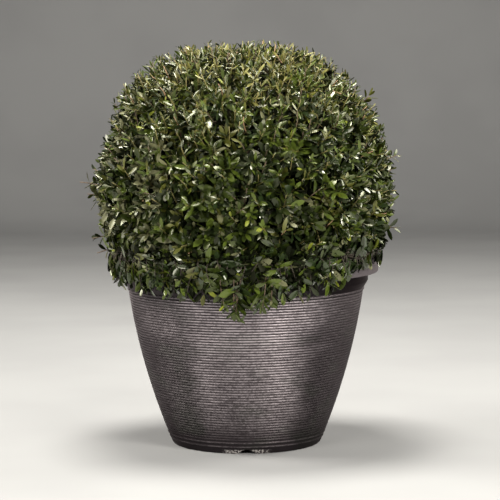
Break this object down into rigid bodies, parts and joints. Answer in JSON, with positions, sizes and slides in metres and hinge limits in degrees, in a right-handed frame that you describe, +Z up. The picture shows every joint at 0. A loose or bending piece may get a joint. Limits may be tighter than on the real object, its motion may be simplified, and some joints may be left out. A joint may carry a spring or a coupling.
{
  "type": "potted japanese holly shrub",
  "caption": "Evergreen shrub clipped into a dense ball of small leaves, on a short trunk in a round tapered pot with fine horizontal ribs and a rolled rim.",
  "frame": {"origin": "centre of the object's box in plan, on the surface that the pot stands on; the pot's axis runs up through it", "axes": "+Z up along the pot's axis, -Y the front that the picture shows, +X to the right seen from the front"},
  "size_m": [0.424, 0.4161, 0.5361],
  "materials": {
    "pot_finish": "dark pewter brown, brushed lighter on the rib tops, satin",
    "potting_mix": "moist composted bark and peat, dark brown, matt",
    "bark": "grey-brown smooth young bark",
    "leaves": "small leathery dark green leaves with a soft gloss, some fresh green and bronze"
  },
  "bodies": {
    "root": {"pot": "pot_finish", "potting_mix": "potting_mix", "trunk": "bark", "bough_front": "bark", "bough_front_right": "bark", "bough_back_right": "bark", "bough_back": "bark", "bough_back_left": "bark", "bough_front_left": "bark", "foliage_front": "leaves", "foliage_front_right": "leaves", "foliage_back_right": "leaves", "foliage_back": "leaves", "foliage_back_left": "leaves", "foliage_front_left": "leaves", "foliage_top": "leaves"}
  },
  "joints": []
}
